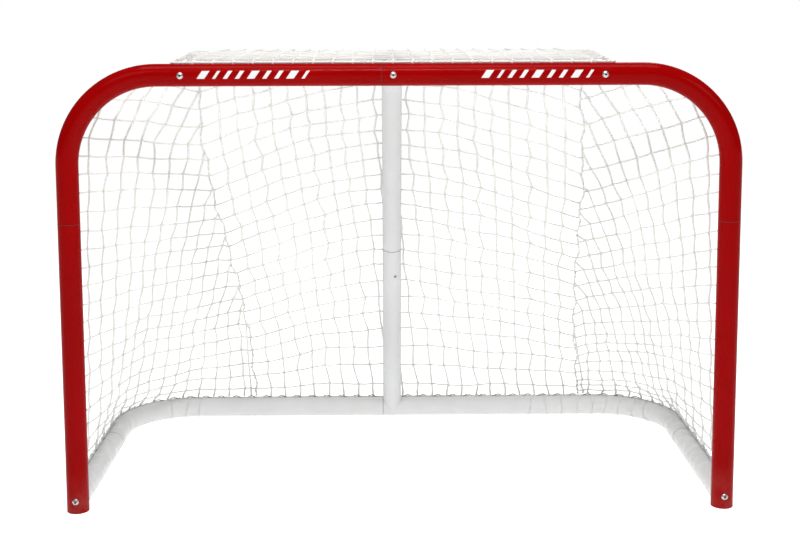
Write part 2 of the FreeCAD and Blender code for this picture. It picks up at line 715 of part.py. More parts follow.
def back_net():
    """The back panel, outermost along the centre bar and drawn forward towards both seams."""
    levels = [0, 130, 270, 420, 560, 680, 790, 870, 930]
    heights = [NET_BOTTOM_Z + level for level in levels]
    heights += [LEAVE_Z + (TOUCH_Z - LEAVE_Z) * i / 4 for i in range(5)]
    heights += [TOUCH_Z + 25, BOW_TOP_Z, SEAM_TOP_Z]
    columns = 5
    grid = []
    for z in heights:
        row = []
        for side in (-1, 1):
            seam = seam_point(side, z).sub(X_AXIS * (side * SEAM_CLEAR))
            bar = V(CENTRE_X + side * BAR_FLAT, back_net_y(z), z)
            half = [seam.add(bar.sub(seam) * (j / columns)) for j in range(columns + 1)]
            row += half if side < 0 else half[::-1]
        grid.append(row)
    return surface_solid(grid, NET_THICK)


def net():
    for side, name in ((-1, "left"), (1, "right")):
        export(f"net_{name}_panel", side_net(side))
        export(f"{name}_net_seam", seam_cord(side))
    export("net_back_panel", back_net())

    front, back = CORD_D + 2.0, SHELF_Y + SHELF_R - 4.0
    low_x = SHELF_SIDES[0] - SHELF_R
    high_x = SHELF_SIDES[1] + SHELF_R
    ends = ((front, NET_FRONT_Z), (back, NET_TOP_Z))
    rows = [[V(low_x, y, z), V(high_x, y, z)] for y, z in ends]
    export("net_top_panel", surface_solid(rows, NET_THICK))


def main():
    os.makedirs("parts", exist_ok=True)
    front_frame()
    side_rails()
    rear_rails()
    centre_bar()
    top_shelf()
    fasteners()
    snap_lock()
    post_cords()
    crossbar_cord()
    hooks()
    hem_cords()
    base_hooks()
    net()


main()
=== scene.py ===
"""Looks of the hockey goal: paint, steel and a knotted twine net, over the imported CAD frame.

Lengths are metres in the row frame: X across the mouth, Y from the mouth into the net, Z up.
"""

import json
import math
import random

import bpy
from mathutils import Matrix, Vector, noise


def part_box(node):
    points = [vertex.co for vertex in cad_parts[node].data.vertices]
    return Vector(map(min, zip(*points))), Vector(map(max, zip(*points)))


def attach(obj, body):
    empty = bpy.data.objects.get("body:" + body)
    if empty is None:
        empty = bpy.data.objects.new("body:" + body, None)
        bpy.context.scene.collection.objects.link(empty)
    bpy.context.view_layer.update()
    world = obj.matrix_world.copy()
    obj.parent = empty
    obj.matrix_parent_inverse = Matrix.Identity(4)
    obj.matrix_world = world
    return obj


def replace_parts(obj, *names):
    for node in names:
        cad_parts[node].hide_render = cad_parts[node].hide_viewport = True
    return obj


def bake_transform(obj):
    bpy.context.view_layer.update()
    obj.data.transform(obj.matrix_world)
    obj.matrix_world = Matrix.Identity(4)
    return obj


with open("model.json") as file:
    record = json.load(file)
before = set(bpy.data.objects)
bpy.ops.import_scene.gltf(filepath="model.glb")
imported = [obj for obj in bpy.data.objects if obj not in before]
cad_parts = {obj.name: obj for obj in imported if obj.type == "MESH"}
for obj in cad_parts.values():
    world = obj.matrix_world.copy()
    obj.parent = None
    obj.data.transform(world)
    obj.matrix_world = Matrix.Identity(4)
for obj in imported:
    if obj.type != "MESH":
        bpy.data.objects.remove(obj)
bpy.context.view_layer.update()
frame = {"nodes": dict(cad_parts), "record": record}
record = frame["record"]
SEED = 7
chance = random.Random(SEED)
noise.seed_set(SEED)

# ---- measured from the CAD nodes -----------------------------------------------------------------
post_lo, post_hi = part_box("left_post_tube")
rail_lo, rail_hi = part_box("left_rear_rail")
_, corner_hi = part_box("left_corner_tube")
shelf_lo, shelf_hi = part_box("top_shelf_bar")
bar_lo, bar_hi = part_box("centre_bar_lower")
top_lo, top_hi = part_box("net_top_panel")
cord_lo, cord_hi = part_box("crossbar_cord")

# The frame: tube radius and axes, the shelf's legs, and the bends that no box shows.
R = (post_hi.x - post_lo.x) / 2
FRONT_Y = (post_lo.y + post_hi.y) / 2
POST_X = -(post_lo.x + post_hi.x) / 2
CROSS_Z = corner_hi.z - R
REAR_Y = rail_hi.y - R
RAIL_Z = (rail_lo.z + rail_hi.z) / 2
CENTRE_X = (bar_lo.x + bar_hi.x) / 2
LEG = {-1: shelf_lo.x, 1: shelf_hi.x}
SHELF_R = 0.01905
SHELF_REAR = shelf_hi.y
SHELF_CORNER = 0.062 + SHELF_R
CORNER_BEND = 0.240
BASE_BEND = 0.216
BASE_STRAIGHT = REAR_Y - BASE_BEND - FRONT_Y
BASE_ARC = math.pi / 2 * BASE_BEND
ARC_Z = CROSS_Z - CORNER_BEND

# The net: its mesh, the cords it is tied to, and the thickness of its strands.
MESH = 0.0508
HALF_SHEET = 0.00125
HEM_R = R + 0.0032
HEM_TILT = math.radians(50)
HEM_OUT, HEM_UP = HEM_R * math.cos(HEM_TILT), HEM_R * math.sin(HEM_TILT)
HEM_Z = RAIL_Z + HEM_UP + 0.0075
TOP_FRONT_Z = top_lo.z + HALF_SHEET
TOP_Z = top_hi.z - HALF_SHEET
SEAM_TOP_Z = TOP_Z - 0.004
POST_NET_Y = FRONT_Y + R + 0.0125
CORD_R = (cord_hi.z - cord_lo.z) / 2
TWINE_R = 0.0033
ROW_R = 0.0027
TOP_TWINE_R = 0.0016
KNOT = TWINE_R * 1.3
KNOT_JITTER = 0.0012
TOP_JITTER = 0.0007
WRINKLE = 0.012


# ---- small helpers -------------------------------------------------------------------------------
def along(table, x):
    """Straight-line lookup in a list of (x, value) pairs."""
    if x <= table[0][0]:
        return table[0][1]
    for (x0, v0), (x1, v1) in zip(table, table[1:]):
        if x <= x1:
            return v0 + (v1 - v0) * (x - x0) / (x1 - x0)
    return table[-1][1]


def wrinkle(p, amount):
    """Smooth, seeded wandering of a point."""
    return noise.noise_vector(p) * amount


def polyline_point(points, t):
    """The point at a share t of the way along a polyline."""
    spans = [(b - a).length for a, b in zip(points, points[1:])]
    left = sum(spans) * min(max(t, 0.0), 1.0)
    for a, b, span in zip(points, points[1:], spans):
        if left <= span:
            return a.lerp(b, left / max(span, 1e-9))
        left -= span
    return points[-1].copy()


class Tubes:
    """Collects round strands and blobs, and makes one smooth mesh with a UV map along each strand."""

    def __init__(self):
        self.verts, self.faces, self.uvs = [], [], []

    def strand(self, points, radius, sides=6, closed=False):
        """A round strand through the points, with capped ends unless it is closed."""
        clean = [points[0]]
        for p in points[1:]:
            if (p - clean[-1]).length > 1e-5:
                clean.append(p)
        if len(clean) < 2:
            return
        count = len(clean)
        base = len(self.verts)
        tangent = (clean[1] - clean[0]).normalized()
        side = tangent.orthogonal().normalized()
        travelled = 0.0
        lengths = []
        for i, p in enumerate(clean):
            ahead = clean[min(i + 1, count - 1)] - clean[max(i - 1, 0)]
            if closed:
                ahead = clean[(i + 1) % count] - clean[i - 1]
            turned = ahead.normalized()
            side = (side - turned * side.dot(turned)).normalized()
            up = turned.cross(side)
            for k in range(sides):
                a = 2 * math.pi * k / sides
                self.verts.append(p + side * (math.cos(a) * radius) + up * (math.sin(a) * radius))
            if i:
                travelled += (p - clean[i - 1]).length
            lengths.append(travelled)
        rings = count if closed else count - 1
        for i in range(rings):
            j = (i + 1) % count
            u0 = lengths[i]
            u1 = lengths[j] if j else travelled + (clean[0] - clean[-1]).length
            here, there = base + i * sides, base + j * sides
            for k in range(sides):
                m = (k + 1) % sides
                self.faces.append((here + k, there + k, there + m, here + m))
                v0, v1 = k / sides, (k + 1) / sides
                self.uvs += [u0, v0, u1, v0, u1, v1, u0, v1]
        if not closed:
            for start, order in ((0, -1), (count - 1, 1)):
                ring = [base + start * sides + k for k in range(sides)][::order]
                self.faces.append(tuple(ring))
                self.uvs += [lengths[start], 0.0] * sides

    def blob(self, p, size, axis_a, axis_b):
        """A flattened bead, for the join where two strands run through each other."""
        base = len(self.verts)
        a = axis_a.normalized()
        n = a.cross(axis_b)
        if n.length < 1e-6:
            return
        n.normalize()
        b = n.cross(a)
        rows, cols = 4, 8
        for i in range(1, rows):
            lat = math.pi * i / rows - math.pi / 2
            for k in range(cols):
                lon = 2 * math.pi * k / cols
                d = a * (math.cos(lon) * 1.25) + b * (math.sin(lon) * 1.25)
                self.verts.append(p + d * (size * math.cos(lat)) + n * (size * math.sin(lat) * 0.95))
        low, high = len(self.verts), len(self.verts) + 1
        self.verts += [p - n * (size * 0.95), p + n * (size * 0.95)]
        for i in range(rows - 2):
            here, there = base + i * cols, base + (i + 1) * cols
            for k in range(cols):
                m = (k + 1) % cols
                self.faces.append((here + k, here + m, there + m, there + k))
                self.uvs += [0.0, 0.0, 0.0, 0.1, 0.01, 0.1, 0.01, 0.0]
        for k in range(cols):
            m = (k + 1) % cols
            self.faces.append((low, base + m, base + k))
            self.faces.append((high, base + (rows - 2) * cols + k, base + (rows - 2) * cols + m))
            self.uvs += [0.0, 0.0, 0.01, 0.0, 0.01, 0.1] * 2

    def build(self, name, material, slot):
        """One smooth piece of everything collected, riding on the frame."""
        mesh = bpy.data.meshes.new(name)
        mesh.from_pydata(self.verts, [], self.faces)
        layer = mesh.uv_layers.new(name="UVMap")
        layer.data.foreach_set("uv", self.uvs)
        mesh.polygons.foreach_set("use_smooth", [True] * len(mesh.polygons))
        mesh.validate()
        mesh.update()
        mesh.materials.append(material)
        made = bpy.data.objects.new(name, mesh)
        bpy.context.scene.collection.objects.link(made)
        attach(made, "frame")
        return made


# ---- materials -----------------------------------------------------------------------------------
def new_material(name, base, roughness, metallic=0.0):
    """A material with its node tree and its shader."""
    mat = bpy.data.materials.new(name)
    mat.use_nodes = True
    tree = mat.node_tree
    shader = tree.nodes["Principled BSDF"]
    shader.inputs["Base Color"].default_value = (*base, 1)
    shader.inputs["Roughness"].default_value = roughness
    shader.inputs["Metallic"].default_value = metallic
    return mat, tree, shader


def node(tree, kind, **values):
    """A node with its sockets, or else its settings, set by name."""
    made = tree.nodes.new(kind)
    for key, value in values.items():
        if key in made.inputs:
            made.inputs[key].default_value = value
        else:
            setattr(made, key, value)
    return made


def noise_of(tree, vector, scale, detail=3.0, rough=0.5):
    """Cloudy noise from 0 to 1 over the surface."""
    made = node(tree, "ShaderNodeTexNoise", Scale=scale, Detail=detail, Roughness=rough)
    tree.links.new(vector, made.inputs["Vector"])
    return made.outputs["Fac"]


def ramp(tree, value, stops):
    """A colour picked by a value, from stops of (value, colour)."""
    made = tree.nodes.new("ShaderNodeValToRGB")
    while len(made.color_ramp.elements) < len(stops):
        made.color_ramp.elements.new(0.5)
    for element, (at, colour) in zip(made.color_ramp.elements, stops):
        element.position = at
        element.color = (*colour, 1)
    tree.links.new(value, made.inputs["Fac"])
    return made.outputs["Color"]


def grey(v):
    return (v, v, v)


def remap(tree, value, low, high, to_low, to_high):
    """A value's range stretched to another range and clamped to it."""
    made = tree.nodes.new("ShaderNodeMapRange")
    made.inputs["From Min"].default_value = low
    made.inputs["From Max"].default_value = high
    made.inputs["To Min"].default_value = to_low
    made.inputs["To Max"].default_value = to_high
    tree.links.new(value, made.inputs["Value"])
    return made.outputs["Result"]


def mixed(tree, factor, a, b):
    """Mixes two colours, each given as a socket or as a tuple."""
    made = tree.nodes.new("ShaderNodeMix")
    made.data_type = "RGBA"
    tree.links.new(factor, made.inputs[0])
    for index, value in ((6, a), (7, b)):
        if isinstance(value, tuple):
            made.inputs[index].default_value = (*value, 1)
        else:
            tree.links.new(value, made.inputs[index])
    return made.outputs[2]


def times(tree, a, b):
    """One value times another value or a number."""
    made = node(tree, "ShaderNodeMath", operation="MULTIPLY")
    tree.links.new(a, made.inputs[0])
    if isinstance(b, float):
        made.inputs[1].default_value = b
    else:
        tree.links.new(b, made.inputs[1])
    return made.outputs[0]


def bump(tree, shader, height, strength, distance):
    """Lets a height value ripple the shader's surface."""
    made = node(tree, "ShaderNodeBump", Strength=strength, Distance=distance)
    tree.links.new(height, made.inputs["Height"])
    tree.links.new(made.outputs["Normal"], shader.inputs["Normal"])


def position(tree):
    """The point on the surface, and its height above the ground."""
    coords = tree.nodes.new("ShaderNodeTexCoord")
    split = tree.nodes.new("ShaderNodeSeparateXYZ")
    tree.links.new(coords.outputs["Object"], split.inputs["Vector"])
    return coords.outputs["Object"], split.outputs["Z"]


def powder_coat(name, base, dark, scuff, roughness, shine):
    """Gloss powder coat: faint orange peel, cloudy tint, scuffs that gather near the ground."""
    mat, tree, shader = new_material(name, base, roughness)
    place, height = position(tree)
    cloud = noise_of(tree, place, 5.0, 4.0)
    tint = mixed(tree, remap(tree, cloud, 0.35, 0.7, 0.0, 1.0), base, dark)
    fine = noise_of(tree, place, 140.0, 6.0, 0.7)
    marks = remap(tree, fine, 0.66, 0.74, 0.0, 1.0)
    low = remap(tree, height, 0.32, 0.0, 0.0, 1.0)
    patch = remap(tree, noise_of(tree, place, 11.0, 3.0), 0.45, 0.62, 0.08, 0.7)
    wear = times(tree, times(tree, marks, low), patch)
    colour = mixed(tree, wear, tint, scuff)
    near_ground = remap(tree, height, 0.12, 0.0, 0.0, 0.10)
    dust = times(tree, near_ground, remap(tree, noise_of(tree, place, 24.0, 4.0), 0.35, 0.7, 0.2, 1.0))
    colour = mixed(tree, dust, colour, (0.36, 0.34, 0.30))
    tree.links.new(colour, shader.inputs["Base Color"])
    smear = noise_of(tree, place, 30.0, 4.0)
    gloss = remap(tree, smear, 0.3, 0.75, roughness * 0.75, roughness * 1.5)
    tree.links.new(gloss, shader.inputs["Roughness"])
    peel = noise_of(tree, place, 420.0, 2.0)
    bump(tree, shader, peel, 0.10, 0.0006)
    shader.inputs["Specular IOR Level"].default_value = shine
    shader.inputs["Coat Weight"].default_value = 0.02
    shader.inputs["Coat Roughness"].default_value = 0.06
    return mat


def plated_steel(name, base, roughness):
    """Zinc-plated or plain steel with faint stains and fine scratches."""
    mat, tree, shader = new_material(name, base, roughness, 1.0)
    place, _ = position(tree)
    stain = noise_of(tree, place, 90.0, 5.0)
    colour = ramp(tree, stain, [(0.3, tuple(c * 0.72 for c in base)), (0.65, base)])
    tree.links.new(colour, shader.inputs["Base Color"])
    scratch = noise_of(tree, place, 900.0, 2.0)
    gloss = remap(tree, scratch, 0.3, 0.7, roughness * 0.7, roughness * 1.5)
    tree.links.new(gloss, shader.inputs["Roughness"])
    bump(tree, shader, scratch, 0.15, 0.0002)
    return mat


def moulded_plastic(name, base):
    """Matt plastic with a fine moulded grain."""
    mat, tree, shader = new_material(name, base, 0.55)
    place, _ = position(tree)
    grain = noise_of(tree, place, 700.0, 3.0)
    stops = [(0.3, tuple(c * 0.7 for c in base)), (0.7, tuple(c * 1.4 for c in base))]
    tree.links.new(ramp(tree, grain, stops), shader.inputs["Base Color"])
    bump(tree, shader, grain, 0.25, 0.0003)
    return mat


def laid_cord(name, base, shade, turns, strands, radius):
    """Laid or braided cord: diagonal strand grooves from the UV map with painted shade in them, fuzz and a
    little dirt near the ground.
    """
    mat, tree, shader = new_material(name, base, 0.78)
    place, height = position(tree)
    uv = tree.nodes.new("ShaderNodeUVMap")
    split = tree.nodes.new("ShaderNodeSeparateXYZ")
    tree.links.new(uv.outputs["UV"], split.inputs["Vector"])
    run = times(tree, split.outputs["X"], float(turns))
    across = times(tree, split.outputs["Y"], float(strands))
    add = node(tree, "ShaderNodeMath", operation="ADD")
    tree.links.new(run, add.inputs[0])
    tree.links.new(across, add.inputs[1])
    wave = node(tree, "ShaderNodeMath", operation="SINE")
    tree.links.new(times(tree, add.outputs[0], 2 * math.pi), wave.inputs[0])
    groove = remap(tree, wave.outputs[0], -1.0, 0.2, 0.0, 1.0)
    cloud = remap(tree, noise_of(tree, place, 9.0, 4.0), 0.35, 0.7, 0.0, 1.0)
    tint = mixed(tree, cloud, base, tuple(c * 0.9 for c in base))
    # Painted shade: the troughs of the strand grooves take the darker shade colour.
    colour = mixed(tree, groove, shade, tint)
    near_ground = remap(tree, height, 0.20, 0.0, 0.0, 0.5)
    grime_and_painted_shade = times(tree, near_ground, remap(tree, noise_of(tree, place, 40.0, 4.0), 0.4, 0.7, 0.0, 1.0))
    colour = mixed(tree, grime_and_painted_shade, colour, (0.30, 0.28, 0.24))
    tree.links.new(colour, shader.inputs["Base Color"])
    fuzz = noise_of(tree, place, 2500.0, 2.0)
    total = node(tree, "ShaderNodeMath", operation="MULTIPLY_ADD")
    tree.links.new(fuzz, total.inputs[0])
    total.inputs[1].default_value = 0.35
    tree.links.new(groove, total.inputs[2])
    bump(tree, shader, total.outputs[0], 0.7, radius * 0.5)
    shader.inputs["Sheen Weight"].default_value = 0.25
    return mat


def decal_material():
    """Slightly worn white print."""
    mat, tree, shader = new_material("decal_white", grey(0.8), 0.5)
    place, _ = position(tree)
    wear = noise_of(tree, place, 160.0, 5.0, 0.7)
    colour = ramp(tree, wear, [(0.25, grey(0.50)), (0.45, grey(0.66))])
    tree.links.new(colour, shader.inputs["Base Color"])
    gloss = remap(tree, noise_of(tree, place, 45.0), 0.3, 0.7, 0.2, 0.4)
    tree.links.new(gloss, shader.inputs["Roughness"])
    bump(tree, shader, noise_of(tree, place, 420.0, 2.0), 0.08, 0.0005)
    return mat


def painted_shade_material():
    """Near-black painted shade for the joint lines and the floors of the bolts' sockets."""
    mat, tree, shader = new_material("joint_painted_shade", (0.03, 0.022, 0.02), 0.8)
    place, _ = position(tree)
    speck = noise_of(tree, place, 350.0, 4.0)
    colour = ramp(tree, speck, [(0.3, (0.015, 0.01, 0.01)), (0.75, (0.10, 0.075, 0.07))])
    tree.links.new(colour, shader.inputs["Base Color"])
    bump(tree, shader, speck, 0.3, 0.0003)
    shader.inputs["Specular IOR Level"].default_value = 0.05
    return mat


PAINT_SHINE = 0.03
RED = powder_coat(
    "paint_red", (0.250, 0.0004, 0.0006), (0.222, 0.0003, 0.0005), (0.36, 0.16, 0.15), 0.16, PAINT_SHINE
)
WHITE = powder_coat(
    "paint_white", (0.60, 0.605, 0.605), (0.57, 0.575, 0.58), (0.20, 0.19, 0.18), 0.24, PAINT_SHINE
)
STEEL = plated_steel("zinc_steel", (0.56, 0.56, 0.55), 0.34)
BUTTON = plated_steel("spring_steel", (0.30, 0.30, 0.31), 0.36)
PLASTIC = moulded_plastic("plug_black", (0.035, 0.035, 0.036))
# Each cord's second colour is the painted shade in the grooves between its strands.
CORD = laid_cord("cord_braid", (0.36, 0.35, 0.27), (0.15, 0.145, 0.11), 160, 4, 0.0016)
BORDER = laid_cord("border_rope", (0.82, 0.82, 0.79), (0.52, 0.51, 0.47), 85, 3, 0.003)
TWINE = laid_cord("net_twine_braid", (0.88, 0.88, 0.845), (0.70, 0.70, 0.65), 180, 3, 0.0031)
DECAL = decal_material()
# Near-black painted shade for the joint grooves and the socket floors.
PAINTED_SHADE = painted_shade_material()

SLOTS = {
    "frame_red": RED,
    "frame_white": WHITE,
    "fastener_steel": STEEL,
    "button_steel": BUTTON,
    "plug_plastic": PLASTIC,
    "cord": CORD,
    "net_twine": TWINE,
}
for part in record["subparts"]:
    cad = frame["nodes"][part["node"]]
    cad.data.materials.clear()
    cad.data.materials.append(SLOTS[part["material_slot"]])


# ---- where the net lies --------------------------------------------------------------------------
# The centre bar slants up from the rear base tube, bends over at the top and meets the crossbar. The
# back panel lies behind it, leaves the bend on a tangent and goes straight to the shelf's rear bar.
BAR_TOP = 0.440
BAR_BEND = 0.216
SLANT = math.atan2(REAR_Y - FRONT_Y - BAR_TOP, CROSS_Z - RAIL_Z)
BACK_GAP = R + 0.0015 + TWINE_R
SHELF_Z = shelf_hi.z - SHELF_R
SHELF_NET_Y = SHELF_REAR + 0.005

# The seams bow forward by SEAM_BOW. Going up, the left one leans out; the right one leans in and flares
# out again at the top. The side panels follow the hem's line up to about HEM_REACH.
HEM_REACH = 0.220
SEAM_BOW = 0.280
LEFT_FOOT_X, LEFT_LEAN = -0.477, 0.126
RIGHT_FOOT_X, RIGHT_LEAN, RIGHT_FLARE = 0.614, 0.089, 0.040
SEAM_WAVE = 0.0042
SEAM_SWAY = 0.003
BOW_TOP_Z = SHELF_Z - SHELF_R - 0.009
BEND_Y = FRONT_Y + BAR_TOP - BAR_BEND * math.tan((math.pi / 2 - SLANT) / 2)
BEND_Z = CROSS_Z - BAR_BEND
NET_BEND_R = BAR_BEND + BACK_GAP
LEAVE_Z = BEND_Z + NET_BEND_R * math.sin(SLANT)
SHELF_WAY = math.hypot(SHELF_NET_Y - BEND_Y, SHELF_Z - BEND_Z)
TOUCH = math.atan2(SHELF_Z - BEND_Z, SHELF_NET_Y - BEND_Y) - math.acos(NET_BEND_R / SHELF_WAY)
TOUCH_Y = BEND_Y + NET_BEND_R * math.cos(TOUCH)
TOUCH_Z = BEND_Z + NET_BEND_R * math.sin(TOUCH)

# Side panels: columns between post and seam by height, columns that end on the post's bend by height,
# and the share of the hem at which each column starts.
SIDE_COLUMNS = 15
COLUMNS_TO_SEAM = [
    (0.069, 15.3), (0.35, 15.0), (0.43, 14.0), (0.50, 13.0), (0.58, 12.0), (0.68, 11.0), (0.76, 10.0),
    (0.845, 9.0), (0.955, 8.0), (1.04, 7.0), (1.13, 6.0), (1.19, 5.3), (SEAM_TOP_Z, 5.0),
]
COLUMNS_CUT = [
    (ARC_Z, 0.0), (1.08, 0.25), (1.15, 0.7), (1.178, 1.0), (1.187, 2.0), (1.2, 3.0), (SEAM_TOP_Z, 3.3),
]
HEM_SHARES = [0.0, 0.15, 0.25, 0.351, 0.451, 0.552] + [0.552 + 0.0458 * k for k in range(1, 10)] + [0.985]


def back_y(z):
    """Depth of the net behind the centre bar: up the slant, round the bend and over to the shelf."""
    if z <= LEAVE_Z:
        return REAR_Y - (z - RAIL_Z) * math.tan(SLANT) + BACK_GAP / math.cos(SLANT)
    if z <= TOUCH_Z:
        return BEND_Y + math.sqrt(NET_BEND_R**2 - (z - BEND_Z) ** 2)
    if z <= SHELF_Z:
        part = (z - TOUCH_Z) / (SHELF_Z - TOUCH_Z)
        return TOUCH_Y * (1 - part) + SHELF_NET_Y * part
    return SHELF_NET_Y - 0.3 * (z - SHELF_Z)


def seam(side, z):
    """The corner seam: it bows forward between hem and shelf, and tucks in round the shelf's corner."""
    t = min(max((z - HEM_Z) / (SEAM_TOP_Z - HEM_Z), 0.0), 1.0)
    if side < 0:
        x = LEFT_FOOT_X - LEFT_LEAN * t**1.6
    else:
        x = RIGHT_FOOT_X - RIGHT_LEAN * (1 - (1 - t) ** 2) + RIGHT_FLARE * t**12
    taut = min(max((z - HEM_Z) / (BOW_TOP_Z - HEM_Z), 0.0), 1.0)
    over = min(max((z - BOW_TOP_Z) / (SEAM_TOP_Z - BOW_TOP_Z), 0.0), 1.0)
    tuck = 0.3 * SHELF_CORNER * over * over * (3 - 2 * over)
    bow = SEAM_BOW * math.sin(math.pi * taut**2.2)
    return Vector((x - side * tuck, back_y(z) - bow - tuck, z))


def seam_zigzag(side, z):
    """The gathered seam wanders a little at every mesh."""
    at = seam(side, z)
    step = (z - HEM_Z) / (2 * MESH)
    wave = abs(2 * (step - math.floor(step + 0.5))) * 2 - 1
    ease = min(1.0, max(0.0, (z - HEM_Z) / 0.05), max(0.0, (SEAM_TOP_Z - z) / 0.05))
    at.x += (SEAM_WAVE * wave + SEAM_SWAY * math.sin(z * 31 + side)) * ease
    at.y += SEAM_SWAY * math.cos(z * 47) * ease
    return at


def hem_route(side):
    """The hem outside the base tube, from the post round the rear bend to the seam."""
    points = [
        Vector((side * POST_X, POST_NET_Y, HEM_Z)),
        Vector((side * (POST_X + HEM_OUT), POST_NET_Y + 0.06, HEM_Z)),
    ]
    steps = 12
    for i in range(steps + 1):
        a = math.pi / 2 * i / steps
        x = side * (POST_X - BASE_BEND + (BASE_BEND + HEM_OUT) * math.cos(a))
        y = REAR_Y - BASE_BEND + (BASE_BEND + HEM_OUT) * math.sin(a)
        points.append(Vector((x, y, HEM_Z)))
    points.append(seam(side, HEM_Z))
    return points


HEMS = {side: hem_route(side) for side in (-1, 1)}


def post_edge(side, z):
    """Front edge of the side panel: up the post, round its bend, then over to the shelf's leg."""
    if z <= ARC_Z:
        return Vector((side * POST_X, POST_NET_Y, z))
    reach = math.sqrt(max(CORNER_BEND**2 - (min(z, CROSS_Z) - ARC_Z) ** 2, 0))
    edge = Vector((side * (POST_X - CORNER_BEND + reach), POST_NET_Y, min(z, CROSS_Z)))
    if z > CROSS_Z:
        leg = Vector((LEG[side] + side * 0.003, POST_NET_Y + 0.004, TOP_FRONT_Z - 0.004))
        edge = edge.lerp(leg, min(1.0, (z - CROSS_Z) / (SEAM_TOP_Z - CROSS_Z)))
    return edge


def share_across(z, column):
    """How far across the side panel a column stands at a height: 0 at the post and 1 at the seam."""
    total, cut = along(COLUMNS_TO_SEAM, z), along(COLUMNS_CUT, z)
    return (column - cut) / max(total - cut, 0.2)


def side_point(side, z, column):
    """A point of the side panel at a height and a column number; near the hem it follows the hem."""
    u = min(max(share_across(z, column), 0.0), 1.0)
    weight = math.exp(-(z - HEM_Z) / HEM_REACH)
    start, end = post_edge(side, z), seam_zigzag(side, z)
    chord = start.lerp(end, u)
    low = polyline_point(HEMS[side], HEM_SHARES[column] if u < 1 else 1.0)
    low.z = z
    p = chord.lerp(low, weight)
    slack = 4 * u * (1 - u)
    return p + wrinkle(Vector((column * 0.35 + side * 9, z * 6.0, 2.0)), WRINKLE * slack)


# How far a row drops between the post and the seam, by the height at which it leaves the post.
ROW_DROPS = {
    -1: [(HEM_Z, 0.0), (0.30, 0.010), (0.66, 0.018), (0.87, 0.032), (1.03, 0.050), (1.22, 0.060)],
    1: [
        (HEM_Z, 0.0), (0.20, 0.085), (0.44, 0.174), (0.55, 0.187),
        (0.82, 0.166), (0.97, 0.146), (1.10, 0.113), (1.22, 0.070),
    ],
}
ROWS = 23
ROW_BASE = HEM_Z + 0.026
ROW_STEP = 0.0518


def row_height(side, z0, u):
    """A row starts level at the post and droops on its way to the seam, much more on the right."""
    slack = 0.006 * math.sin(math.pi * u) * math.sin(z0 * 23)
    return z0 - along(ROW_DROPS[side], z0) * u**1.1 + slack


def side_row_point(side, z0, column):
    """Where a row crosses a column: height and share depend on each other, so they are found in turns."""
    z = z0
    for _ in range(14):
        u = share_across(z, column)
        z = row_height(side, z0, min(max(u, 0.0), 1.0))
    return side_point(side, z, column), u


def jitter(p, amount):
    """The point moved by a seeded random step."""
    return p + Vector((chance.uniform(-1, 1), chance.uniform(-1, 1), chance.uniform(-1, 1))) * amount


def thread(points, sag, wobble=0.0016, steps=3):
    """A strand through its knots, a little slack between one knot and the next."""
    made = []
    for a, b in zip(points, points[1:]):
        gap = (b - a).length
        push = Vector((chance.uniform(-1, 1), chance.uniform(-1, 1), 0)) * wobble
        for i in range(steps):
            t = i / steps
            bow = 4 * t * (1 - t)
            made.append(a.lerp(b, t) + push * bow - Vector((0, 0, sag * bow * min(gap / MESH, 1.3))))
    made.append(points[-1])
    return made


# The first three columns end on the post's bend, at these heights and distances from the middle. The
# next two end on the head of the panel, at these shares of the way from the post's edge to the seam.
COLUMN_END_Z = {1: 1.178, 2: 1.187, 3: CROSS_Z}
COLUMN_END_X = {1: 0.714, 2: 0.674, 3: 0.632}
HEAD_SHARE = {4: 0.22, 5: 0.62}
STAGGER = 0.0022
BACK_STAGGER = 0.0024


def side_panel(side):
    """One side of the net: rows from post to seam, columns from hem to seam or post, and knots."""
    net = Tubes()
    knots = {}
    for i in range(ROWS):
        z0 = ROW_BASE + ROW_STEP * i
        for j in range(1, SIDE_COLUMNS + 1):
            p, u = side_row_point(side, z0, j)
            if 0.004 < u < 0.985:
                p.x += side * STAGGER * (1 if (i + j) % 2 else -1)
                knots[i, j] = jitter(p, KNOT_JITTER)
    for i in range(ROWS):
        z0 = ROW_BASE + ROW_STEP * i
        if z0 > SEAM_TOP_Z + 0.01:
            break
        row = [knots[i, j] for j in range(1, SIDE_COLUMNS + 1) if (i, j) in knots]
        start = post_edge(side, z0)
        end = seam_zigzag(side, row_height(side, z0, 1.0))
        start.y -= 0.006
        net.strand(thread([start] + row + [end], 0.0012), ROW_R)
        ring_way = Vector((0, 0, 1))
        if z0 > ARC_Z:
            out = Vector((side * (abs(start.x) - (POST_X - CORNER_BEND)), 0, start.z - ARC_Z))
            out.normalize()
            ring_way = Vector((-out.z, 0, out.x))
        hitch(net, Vector((start.x, FRONT_Y + R + CORD_R, start.z)), ring_way)
    for j in range(1, SIDE_COLUMNS + 1):
        column = [knots[i, j] for i in range(ROWS) if (i, j) in knots]
        if not column:
            continue
        foot = polyline_point(HEMS[side], HEM_SHARES[j])
        foot.z = HEM_Z - 0.002
        line = [foot] + column
        if j in COLUMN_END_Z:
            end = post_edge(side, COLUMN_END_Z[j])
            end.x = side * COLUMN_END_X[j]
            end.y -= 0.004
            line = [p for p in line if p.z < COLUMN_END_Z[j] - 0.012] + [end]
        elif j in HEAD_SHARE:
            front = post_edge(side, SEAM_TOP_Z)
            line.append(front.lerp(seam(side, SEAM_TOP_Z), HEAD_SHARE[j]))
        else:
            meets = min(z for z, total in COLUMNS_TO_SEAM if abs(total - j) < 0.01)
            line.append(seam_zigzag(side, meets))
        net.strand(thread(line, 0.0, 0.0022), TWINE_R)
    for (i, j), p in knots.items():
        net.blob(p, KNOT, Vector((0.6, 0.6 * side, 0)), Vector((0, 0, 1)))
    return net


